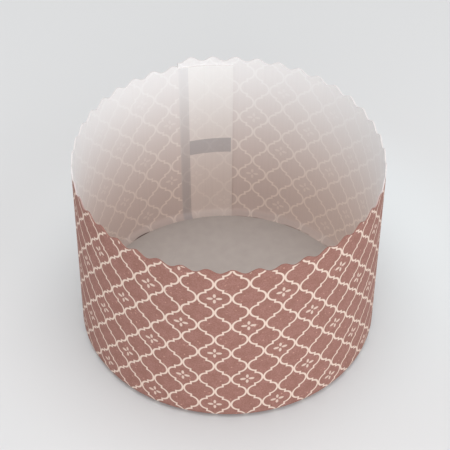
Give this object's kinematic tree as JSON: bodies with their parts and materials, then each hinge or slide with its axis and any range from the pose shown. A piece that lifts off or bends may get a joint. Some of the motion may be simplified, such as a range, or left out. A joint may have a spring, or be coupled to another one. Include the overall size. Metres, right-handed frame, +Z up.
{
  "type": "paper baking mold",
  "caption": "Round free-standing paper baking mold with a scalloped rim, a lapped side seam, a foot folded inward and a flat base disc, for baking and serving a tall cake.",
  "frame": {"origin": "centre of the foot, on the floor that the mold stands on", "axes": "+Z up through the open top, -Y towards the viewer's side, +Y towards the lapped seam at the back, +X to the viewer's right"},
  "size_m": [0.1306, 0.1372, 0.091],
  "materials": {
    "printed_paper": "matte",
    "plain_paper": "matte"
  },
  "bodies": {
    "root": {"side_wall": "printed_paper", "base_disc": "plain_paper"}
  },
  "joints": []
}
